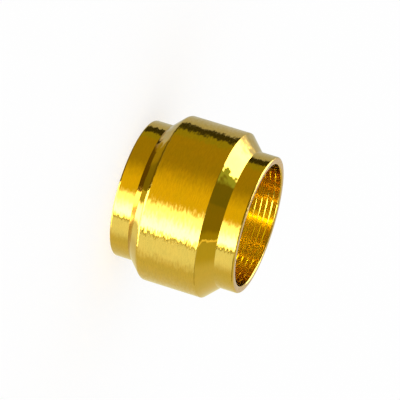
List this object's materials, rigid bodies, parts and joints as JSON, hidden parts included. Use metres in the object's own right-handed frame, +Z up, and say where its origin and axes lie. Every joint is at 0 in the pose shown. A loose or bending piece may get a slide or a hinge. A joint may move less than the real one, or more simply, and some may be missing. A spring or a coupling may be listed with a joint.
{
  "type": "compression ring",
  "caption": "Turned brass compression ring (olive) with a through bore, a wide middle band, a 45 degree sealing cone on each side and a thin collar at each end.",
  "frame": {"origin": "centre of the lower end face, on the surface that the ring stands on", "axes": "+Z up along the axis of the bore; the ring is round, so X and Y are free"},
  "size_m": [0.0137, 0.0136, 0.0105],
  "materials": {
    "turned_brass": "bright turned brass, satin on the band and polished on the cones"
  },
  "bodies": {
    "root": {"compression_ring": "turned_brass"}
  },
  "joints": []
}
